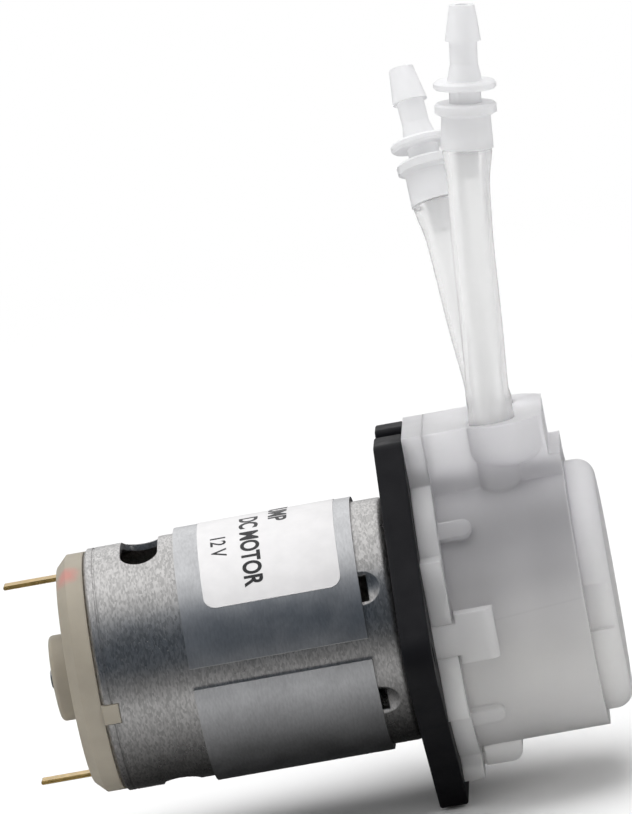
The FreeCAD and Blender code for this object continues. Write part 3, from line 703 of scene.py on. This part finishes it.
def zinc_steel(look):
    """Zinc on drawn steel: light and dark flecks, stretched a little round the case."""
    material, recipe, into, place = finish("zinc_steel", Metallic=1.0)
    wrap = shared(recipe, "Round The Axis", Vector=place)
    grainy = recipe.stretched(wrap, (1.5, 0.55, 1.0))
    flecks = shared(recipe, "Flecks", Vector=grainy, Scale=4200.0, Contrast=0.7)
    cloud = recipe.noise(wrap, 160.0)
    tone = recipe.plus(recipe.times(flecks, 0.62), recipe.times(cloud, 0.40))
    recipe.feed(into["Base Color"], recipe.mixed(tone, look.case_dark, look.case_light))
    recipe.feed(into["Roughness"], smudged(recipe, wrap, 240.0, 0.26, 0.40))
    recipe.feed(into["Normal"], soft_bump(recipe, 0.00018, flecks, 0.000012, 0.8))
    return material


def ring_steel(look):
    """Blue-grey rolled steel: fine lines round the ring, faint dents and a painted highlight along its
    edges.
    """
    material, recipe, into, place = finish("ring_steel", Metallic=1.0)
    wrap = shared(recipe, "Round The Axis", Vector=place)
    lines = recipe.noise(recipe.stretched(wrap, (3.0, 1.0, 1.0)), 1500.0, 4.0)
    cloud = recipe.noise(wrap, 170.0, 4.0)
    tone = recipe.spread(recipe.plus(lines, cloud), 0.7, 1.3)
    base = recipe.mixed(tone, scaled(look.ring, 0.86), scaled(look.ring, 1.12))
    # Painted highlight: the ring's edges are made paler where the softened normal leans
    paler_mask = shared(recipe, "Edge Mask", Radius=0.0002)
    recipe.feed(into["Base Color"], recipe.mixed(paler_mask, base, (0.78, 0.78, 0.77)))
    recipe.feed(into["Roughness"], smudged(recipe, wrap, 320.0, 0.34, 0.46))
    recipe.feed(into["Normal"], soft_bump(recipe, 0.00008, lines, 0.000008))
    return material


def label_paper(look):
    """Gloss-coated white label with a trace of the ring's waviness."""
    material, recipe, into, place = finish("label_paper", Coat_Weight=0.25, Coat_Roughness=0.25)
    soft = recipe.spread(recipe.noise(place, 420.0, 3.0), 0.35, 0.65)
    dusty = scaled(look.label, 0.94)
    recipe.feed(into["Base Color"], recipe.mixed(soft, dusty, look.label))
    recipe.feed(into["Roughness"], smudged(recipe, place, 300.0, 0.38, 0.5))
    recipe.feed(into["Normal"], recipe.bump(recipe.noise(place, 2600.0), 0.000006, 0.5))
    return material


def label_ink(look):
    """Printed black, a little thin in places."""
    material, recipe, into, place = finish("label_ink")
    thin = recipe.noise(place, 3800.0, 2.0)
    paler_mask = recipe.spread(thin, 0.5, 0.8)
    recipe.feed(into["Base Color"], recipe.mixed(paler_mask, look.ink, lifted(look.ink, 0.035)))
    recipe.feed(into["Roughness"], recipe.spread(thin, 0.3, 0.7, 0.38, 0.55))
    return material


def cap_plastic(look):
    """Ivory moulded plastic with a painted polarity spot beside the upper terminal."""
    material, recipe, into, place = finish(
        "cap_plastic", Subsurface_Weight=0.12, Subsurface_Scale=0.002, Subsurface_Radius=(1.0, 0.8, 0.5)
    )
    mottle = recipe.noise(place, 260.0, 4.0)
    base = recipe.mixed(recipe.spread(mottle, 0.3, 0.7), scaled(look.cap, 0.86), look.cap)
    middle = recipe.node("VectorMath", {0: place, 1: SPOT_AT}, operation="DISTANCE")
    ragged = recipe.times(recipe.noise(place, 1500.0, 3.0), 0.0009)
    reach = recipe.plus(middle.outputs["Value"], ragged)
    spot = recipe.spread(reach, 0.0024, 0.0010, 0.0, 0.5)
    recipe.feed(into["Base Color"], recipe.mixed(spot, base, look.spot))
    recipe.feed(into["Roughness"], smudged(recipe, place, 200.0, 0.42, 0.58))
    recipe.feed(into["Normal"], soft_bump(recipe, 0.0003, recipe.noise(place, 2200.0), 0.00001, 0.5))
    return material


def metal(name, dark, light, rough, scale, stretch=(1.0, 1.0, 1.0), wrapped=False, soft=0.0001):
    """A plain metal: two tones of its colour in a stretched grain, with handling marks."""
    material, recipe, into, place = finish(name, Metallic=1.0)
    if wrapped:
        place = shared(recipe, "Round The Axis", Vector=place)
    grain = recipe.noise(recipe.stretched(place, stretch), scale, 4.0)
    tone = recipe.spread(grain, 0.35, 0.65)
    recipe.feed(into["Base Color"], recipe.mixed(tone, dark, light))
    low, high = rough
    recipe.feed(into["Roughness"], smudged(recipe, place, scale / 5, low, high))
    recipe.feed(into["Normal"], soft_bump(recipe, soft, grain, 0.000008))
    return material


def wound_copper():
    """Enamelled wire: close turns lying across the slots, with gaps, darker down between the turns."""
    material, recipe, into, place = finish("copper_wire", Metallic=1.0)
    bent = recipe.node("VectorMath", {0: place}, operation="LENGTH").outputs["Value"]
    wobble = recipe.times(recipe.noise(place, 380.0), 0.0006)
    phase = recipe.times(recipe.plus(bent, wobble), 22000.0)
    height = recipe.spread(recipe.maths("SINE", phase), -1.0, 1.0)
    recipe.feed(into["Base Color"], recipe.mixed(height, (0.26, 0.09, 0.035), (0.75, 0.33, 0.14)))
    recipe.feed(into["Roughness"], recipe.spread(height, 0.0, 1.0, 0.5, 0.26))
    recipe.feed(into["Normal"], recipe.bump(height, 0.00012, 0.9))
    return material


def stacked_steel():
    """Laminated steel: thin sheets stacked along the shaft."""
    material, recipe, into, place = finish("core_steel", Metallic=1.0)
    x = recipe.node("SeparateXYZ", {0: place}).outputs[0]
    sheets = recipe.maths("SINE", recipe.times(x, 12500.0))
    height = recipe.spread(sheets, -1.0, -0.4)
    tone = recipe.times(height, recipe.noise(place, 900.0))
    recipe.feed(into["Base Color"], recipe.mixed(tone, (0.12, 0.12, 0.13), (0.62, 0.62, 0.64)))
    recipe.feed(into["Roughness"], smudged(recipe, place, 300.0, 0.35, 0.6))
    recipe.feed(into["Normal"], recipe.bump(height, 0.00003, 0.8))
    return material


def plastic(name, base, shade, rough, grain, soft, depth=0.00001, **constants):
    """Moulded plastic: a faint cloud in its colour, handling marks and a spark-eroded grain."""
    material, recipe, into, place = finish(name, **constants)
    cloud = recipe.spread(recipe.noise(place, 180.0, 4.0), 0.3, 0.7)
    recipe.feed(into["Base Color"], recipe.mixed(cloud, scaled(base, shade), base))
    low, high = rough
    recipe.feed(into["Roughness"], smudged(recipe, place, 240.0, low, high))
    recipe.feed(into["Normal"], soft_bump(recipe, soft, recipe.noise(place, grain, 2.0), depth))
    return material


def flange_plastic(look):
    """Black glass-filled nylon: fine grain, dusty bloom and paler edges."""
    material, recipe, into, place = finish("black_plastic", Specular_IOR_Level=0.16)
    bloom = recipe.spread(recipe.noise(place, 330.0, 5.0), 0.35, 0.75, 0.0, 0.6)
    base = recipe.mixed(bloom, look.flange, lifted(look.flange, 0.004))
    paler_mask = recipe.times(shared(recipe, "Edge Mask", Radius=0.0002), 0.5)
    recipe.feed(into["Base Color"], recipe.mixed(paler_mask, base, (0.09, 0.09, 0.095)))
    recipe.feed(into["Roughness"], smudged(recipe, place, 260.0, 0.45, 0.65))
    recipe.feed(into["Normal"], soft_bump(recipe, 0.00025, recipe.noise(place, 3200.0, 2.0), 0.000018))
    return material


def milky_plastic(look):
    """Natural milky plastic.

    The drum's upper half is darkened by painted shade, which stands in for the dark inside seen through
    the thin wall where no white tube lies behind it. The thick arms, the base and the cover get no
    painted shade, and a mould seam runs along the drum.
    """
    material, recipe, into, place = finish(
        "milky_plastic", Transmission_Weight=0.50, IOR=1.33, Subsurface_Weight=0.6,
        Subsurface_Scale=0.004, Subsurface_Radius=(1.0, 1.0, 1.0),
    )
    x, _, z = recipe.node("SeparateXYZ", {0: place}).outputs
    wrap = shared(recipe, "Round The Axis", Vector=place)
    radius = recipe.node("SeparateXYZ", {0: wrap}).outputs[2]
    # Painted shade on the drum by height, darkest in its upper half; the proud parts, the base and the
    # cover get none
    wall = recipe.ramp(recipe.spread(z, *DRUM_SPAN), DRUM_PAINTED_SHADE)
    proud = recipe.spread(radius, *PROUD_SPAN)
    thick = recipe.times(proud, recipe.spread(z, *RIB_SPAN, 1.0, 0.15))
    ends = recipe.maths("MAXIMUM", recipe.spread(x, *BASE_SPAN), recipe.spread(x, *COVER_SPAN))
    solid = recipe.maths("MAXIMUM", thick, ends)
    thin = recipe.maths("SUBTRACT", 1.0, solid)
    tone = recipe.plus(solid, recipe.times(wall, thin))
    slope = recipe.plus(z, recipe.times(x, SEAM_SLOPE))
    from_seam = recipe.maths("ABSOLUTE", recipe.maths("SUBTRACT", slope, SEAM_AT))
    seam = recipe.maths("MAXIMUM", recipe.spread(from_seam, *SEAM_SPAN, 0.95, 1.0), solid)
    cloud = recipe.spread(recipe.noise(place, 180.0, 4.0), 0.3, 0.7, 0.96, 1.0)
    tone = recipe.times(recipe.times(tone, seam), cloud)
    tint = recipe.mixed(recipe.spread(z, *TINT_SPAN), look.housing_low, look.housing)
    base = recipe.node("VectorMath", {0: tint}, operation="SCALE")
    recipe.feed(base.inputs["Scale"], tone)
    recipe.feed(into["Base Color"], base.outputs[0])
    recipe.feed(into["Roughness"], smudged(recipe, place, 240.0, 0.36, 0.48))
    recipe.feed(into["Normal"], soft_bump(recipe, 0.00035, recipe.noise(place, 1800.0, 2.0), 0.00001))
    return material


def clear_plastic(name, base, rough, **constants):
    """Soft clear plastic: a faint milkiness in its colour and slow waves in its skin."""
    material, recipe, into, place = finish(name, **constants)
    cloud = recipe.spread(recipe.noise(place, 180.0, 4.0), 0.3, 0.7)
    recipe.feed(into["Base Color"], recipe.mixed(cloud, scaled(base, 0.98), base))
    low, high = rough
    recipe.feed(into["Roughness"], smudged(recipe, place, 240.0, low, high))
    recipe.feed(into["Normal"], recipe.bump(recipe.noise(place, 300.0, 1.0), 0.00003, 0.4))
    return material


def silicone_rubber(look):
    """Clear silicone gone slightly milky, with a soft satin skin."""
    return clear_plastic("silicone", look.silicone, (0.16, 0.25), Transmission_Weight=0.74, IOR=1.18)


def connector_plastic(look):
    """Natural polypropylene of the hose connectors."""
    return clear_plastic(
        "fitting_plastic", look.fitting, (0.30, 0.40), Transmission_Weight=0.36, IOR=1.22
    )


def dress(material, *names):
    """Gives packed nodes their finish."""
    for name in names:
        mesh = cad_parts[name].data
        if not mesh.materials:
            mesh.materials.append(material)
        for index in range(len(mesh.materials)):
            mesh.materials[index] = material


# ---- Operators -------------------------------------------------------------------------------
class PUMP_OT_hoses(bpy.types.Operator):
    """Make the inlet and outlet hoses and finish their connectors"""

    bl_idname = "pump.hoses"
    bl_label = "Hoses"

    def execute(self, context):
        sizes = context.scene.pump_tubes
        rubber = silicone_rubber(sizes)
        dress(
            connector_plastic(sizes),
            "inlet_luer_socket", "inlet_barb_adapter", "outlet_luer_socket", "outlet_barb_adapter",
        )
        for side, route, long in (
            ("inlet", INLET_ROUTE, INLET_LENGTH),
            ("outlet", OUTLET_ROUTE, OUTLET_LENGTH),
        ):
            hose, line = hose_piece(side + "_hose_silicone", route, sizes, rubber)
            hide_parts(side + "_hose")
        return {"FINISHED"}


class PUMP_OT_pump_tube(bpy.types.Operator):
    """Make the tube that the rollers press against the race"""

    bl_idname = "pump.pump_tube"
    bl_label = "Pump Tube"

    def execute(self, context):
        sizes = context.scene.pump_tubes
        tube = pump_tube_piece(sizes, bpy.data.materials["silicone"])
        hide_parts("pump_tube")
        return {"FINISHED"}


class PUMP_OT_motor(bpy.types.Operator):
    """Finish the motor's case, ring, label, end cap and terminals"""

    bl_idname = "pump.motor"
    bl_label = "Motor Outside"

    def execute(self, context):
        look = context.scene.pump_motor
        dress(zinc_steel(look), "motor_can")
        dress(ring_steel(look), "flux_ring")
        dress(label_paper(look), "rating_label")
        dress(cap_plastic(look), "rear_end_cap")
        brass = metal("terminal_brass", scaled(look.brass, 0.72), look.brass, (0.2, 0.34), 1500.0)
        dress(brass, "terminal_upper", "terminal_lower")
        return {"FINISHED"}


class PUMP_OT_label_print(bpy.types.Operator):
    """Print three rows of plain words round the label"""

    bl_idname = "pump.label_print"
    bl_label = "Label Print"

    def execute(self, context):
        look = context.scene.pump_motor
        ink = label_ink(look)
        for name, words, size, x, angle, bold, condensed in (
            ("print_front", look.row_front, 0.0029, -0.0132, 104.0, 0.00007, 0.88),
            ("print_middle", look.row_middle, 0.0029, -0.0165, 142.5, 0.00008, 0.80),
            ("print_rear", look.row_rear, 0.0025, -0.0199, 124.0, 0.00002, 0.80),
        ):
            row = print_row(name, words, size, x, angle, bold, condensed, ink)
        return {"FINISHED"}


class PUMP_OT_motor_works(bpy.types.Operator):
    """Finish the parts inside the motor"""

    bl_idname = "pump.motor_works"
    bl_label = "Motor Inside"

    def execute(self, context):
        turned = {"stretch": (8.0, 1.0, 1.0), "wrapped": True}
        for name, dark, light, rough, scale, settings, *nodes in (
            ("shaft_steel", (0.52, 0.52, 0.53), (0.74, 0.74, 0.75), (0.16, 0.3), 1600.0, turned,
             "motor_shaft"),
            ("bronze", (0.32, 0.19, 0.09), (0.56, 0.36, 0.18), (0.38, 0.55), 2600.0, {},
             "front_bearing", "rear_bearing"),
            ("copper_bar", (0.50, 0.21, 0.10), (0.82, 0.42, 0.25), (0.2, 0.36), 1800.0, turned,
             "commutator"),
            ("spring_steel", (0.45, 0.40, 0.30), (0.72, 0.66, 0.52), (0.24, 0.36), 1500.0, {},
             "brush_arm_upper", "brush_arm_lower", "magnet_clips"),
        ):
            dress(metal(name, dark, light, rough, scale, **settings), *nodes)
        dress(wound_copper(), "armature_windings")
        dress(stacked_steel(), "armature_core")
        for name, base, shade, rough, grain, soft, depth, *nodes in (
            ("carbon", (0.035, 0.034, 0.036), 0.6, (0.5, 0.7), 3000.0, 0.0001, 0.00002,
             "brush_upper", "brush_lower"),
            ("ferrite", (0.055, 0.053, 0.052), 0.6, (0.55, 0.75), 2200.0, 0.0002, 0.00003,
             "magnet_upper", "magnet_lower"),
            ("washer_plastic", (0.70, 0.66, 0.55), 0.9, (0.35, 0.5), 2000.0, 0.0001, 0.00001,
             "thrust_washers"),
        ):
            dress(plastic(name, base, shade, rough, grain, soft, depth), *nodes)
        return {"FINISHED"}


class PUMP_OT_flange(bpy.types.Operator):
    """Finish the mounting flange and the screws under the head"""

    bl_idname = "pump.flange"
    bl_label = "Flange"

    def execute(self, context):
        dress(flange_plastic(context.scene.pump_head), "mounting_flange")
        screws = metal("screw_steel", (0.40, 0.40, 0.40), (0.70, 0.70, 0.68), (0.24, 0.4), 1800.0)
        dress(screws, "motor_screws")
        return {"FINISHED"}


class PUMP_OT_head(bpy.types.Operator):
    """Finish the milky head: its base, housing and front cover"""

    bl_idname = "pump.head"
    bl_label = "Pump Head"

    def execute(self, context):
        dress(milky_plastic(context.scene.pump_head), "head_base", "pump_housing", "front_cover")
        return {"FINISHED"}


class PUMP_OT_rollers(bpy.types.Operator):
    """Finish the drive sleeve, the roller carrier, the rollers and their pins"""

    bl_idname = "pump.rollers"
    bl_label = "Rollers"

    def execute(self, context):
        look = context.scene.pump_head
        plates = plastic("carrier_plastic", look.carrier, 0.9, (0.36, 0.5), 1800.0, 0.0002)
        dress(plates, "carrier_rear_plate", "carrier_front_plate")
        rollers = plastic("roller_plastic", look.roller, 0.92, (0.24, 0.38), 1800.0, 0.0002)
        dress(rollers, "roller_1", "roller_2", "roller_3", "drive_sleeve")
        pins = metal("pin_steel", (0.50, 0.50, 0.51), (0.72, 0.72, 0.73), (0.18, 0.3), 1600.0)
        dress(pins, "roller_pin_1", "roller_pin_2", "roller_pin_3")
        return {"FINISHED"}


class PUMP_OT_stage(bpy.types.Operator):
    """Set the floor, the soft lights and the camera"""

    bl_idname = "pump.stage"
    bl_label = "Studio"

    def execute(self, context):
        stage = context.scene.pump_stage
        lay_floor(stage)
        light_room()
        hang_lights()
        stand_camera(stage)
        context.scene.view_settings.view_transform = "Standard"
        return {"FINISHED"}


# ---- Studio ----------------------------------------------------------------------------------
def lay_floor(stage):
    """A pale matt floor that glows far from the pump; in gloss it shows a painted shadow under the pump
    and painted shade in front.
    """
    material = bpy.data.materials.new("studio_floor")
    material.use_nodes = True
    recipe = Recipe(material.node_tree)
    nodes = material.node_tree.nodes
    nodes.remove(nodes["Principled BSDF"])
    place = recipe.node("TexCoord").outputs["Object"]
    tone = recipe.mixed(recipe.noise(place, 3.0), (0.90, 0.90, 0.90), (0.92, 0.92, 0.92))
    matt = recipe.node("BsdfDiffuse", {"Color": tone}).outputs[0]
    glow = recipe.node("Emission", {"Color": WHITE}).outputs[0]
    far = recipe.node("VectorMath", {0: place}, operation="LENGTH").outputs["Value"]
    lit = recipe.node("LightPath").outputs["Is Diffuse Ray"]
    away = recipe.times(recipe.spread(far, *GLOW_SPAN), recipe.maths("SUBTRACT", 1.0, lit))
    pale = recipe.node("MixShader", {0: away, 1: matt, 2: glow}).outputs[0]
    # Painted shadow and shade seen only in gloss: darkest under and behind the pump, paler a few
    # centimetres in front, darker again further off
    ahead = recipe.times(recipe.node("SeparateXYZ", {0: place}).outputs[1], -1.0)
    under = recipe.spread(ahead, *SHADE_SPAN, SHADE_DEEP, SHADE_PALE)
    front = recipe.spread(ahead, *FRONT_SPAN, SHADE_PALE, SHADE_FRONT)
    gloss_painted_shade = recipe.node("BsdfDiffuse", {"Color": recipe.maths("MINIMUM", under, front)}).outputs[0]
    both = recipe.node("MixShader", {0: mirrored(recipe), 1: pale, 2: gloss_painted_shade}).outputs[0]
    recipe.feed(nodes["Material Output"].inputs["Surface"], both)
    half = stage.floor_size / 2
    z = CAD_BOX[0][2] - stage.floor_gap
    corners = [(-half, -half, z), (half, -half, z), (half, half, z), (-half, half, z)]
    mesh = bpy.data.meshes.new("floor")
    mesh.from_pydata(corners, [], [(0, 1, 2, 3)])
    mesh.materials.append(material)
    linked("floor", mesh)


def mirrored(recipe):
    """One for a ray off a glossy surface, and nought for one through a clear wall."""
    path = recipe.node("LightPath").outputs
    clear = recipe.maths("SUBTRACT", 1.0, path["Is Transmission Ray"])
    return recipe.times(path["Is Glossy Ray"], clear)


def light_room():
    """A white room whose gloss reflections fall off towards the dark behind the camera."""
    world = bpy.data.worlds.new("studio")
    world.use_nodes = True
    bpy.context.scene.world = world
    recipe = Recipe(world.node_tree)
    background = world.node_tree.nodes["Background"]
    way = recipe.node("TexCoord").outputs["Generated"]
    lean = recipe.node("VectorMath", {0: way, 1: SKY_WAY}, operation="DOT_PRODUCT")
    gloss = recipe.spread(lean.outputs["Value"], *SKY_SPAN, SKY_LOW, 1.0)
    dull = recipe.node("Mix", {0: mirrored(recipe), 2: SKY_DULL, 3: gloss}, data_type="FLOAT")
    path = recipe.node("LightPath").outputs
    direct = recipe.maths("MAXIMUM", path["Is Camera Ray"], path["Is Transmission Ray"])
    seen = recipe.node("Mix", {0: direct, 2: dull.outputs[0], 3: 1.0}, data_type="FLOAT")
    recipe.feed(background.inputs["Strength"], seen.outputs[0])
    dark = recipe.spread(seen.outputs[0], SKY_LOW, 0.5, 1.0, 0.0)
    cool = recipe.mixed(recipe.times(dark, mirrored(recipe)), WHITE, COOL)
    recipe.feed(background.inputs["Color"], cool)


def hang_lights():
    """Soft panels, each given as: name, place, size, watts."""
    for name, place, size, watts in (
        ("overhead_panel", (-0.05, 0.10, 0.95), 1.0, 9.0),
        ("left_panel", (-0.9, -0.45, 0.55), 0.6, 2.4),
        ("right_panel", (0.9, -0.55, 0.45), 0.6, 2.0),
    ):
        light = bpy.data.lights.new(name, "AREA")
        light.shape = "SQUARE"
        light.size = size
        light.energy = watts
        lamp = linked(name, light)
        lamp.location = place
        lamp.rotation_euler = (-Vector(place)).to_track_quat("-Z", "Y").to_euler()
        lamp.visible_glossy = False


def stand_camera(stage):
    """The camera looks at the aim point from a turn and an elevation, rolled about its own axis."""
    turn, height, aim = stage.turn, stage.height, Vector(stage.aim)
    back = Vector(
        (math.sin(turn) * math.cos(height), -math.cos(turn) * math.cos(height), math.sin(height))
    )
    right = (-back).cross(Vector((0, 0, 1))).normalized()
    up = right.cross(-back)
    level = Matrix((right, up, back)).transposed()
    camera = bpy.data.cameras.new("camera")
    camera.lens = stage.lens
    camera.clip_end = 100
    holder = linked("camera", camera)
    holder.matrix_world = Matrix.Translation(aim + back * stage.distance) @ (
        level @ Matrix.Rotation(stage.roll, 3, "Z")
    ).to_4x4()
    bpy.context.scene.camera = holder


# ---- Panel and registration ------------------------------------------------------------------
STEPS = (
    PUMP_OT_hoses, PUMP_OT_pump_tube, PUMP_OT_motor, PUMP_OT_label_print, PUMP_OT_motor_works,
    PUMP_OT_flange, PUMP_OT_head, PUMP_OT_rollers, PUMP_OT_stage,
)
SETTINGS = {
    "pump_tubes": PumpTubeSettings, "pump_motor": PumpMotorSettings,
    "pump_head": PumpHeadSettings, "pump_stage": PumpStageSettings,
}


class PUMP_PT_build(bpy.types.Panel):
    """Lists the steps that finish the pump"""

    bl_idname = "PUMP_PT_build"
    bl_label = "Peristaltic Pump"
    bl_space_type = "VIEW_3D"
    bl_region_type = "UI"
    bl_category = "Pump"

    def draw(self, context):
        for step in STEPS:
            self.layout.operator(step.bl_idname)
        for key, group in SETTINGS.items():
            box = self.layout.box()
            box.label(text=group.__doc__)
            for field in group.__annotations__:
                box.prop(getattr(context.scene, key), field)


def register():
    for group in (*SETTINGS.values(), *STEPS, PUMP_PT_build):
        bpy.utils.register_class(group)
    for key, group in SETTINGS.items():
        setattr(bpy.types.Scene, key, PointerProperty(type=group))


def unregister():
    for key in SETTINGS:
        delattr(bpy.types.Scene, key)
    for group in (PUMP_PT_build, *reversed(STEPS), *reversed(SETTINGS.values())):
        bpy.utils.unregister_class(group)


def main():
    """Registers the add-on and runs its steps in order."""
    register()
    for step in STEPS:
        family, name = step.bl_idname.split(".")
        getattr(getattr(bpy.ops, family), name)()


if __name__ == "__main__":
    main()
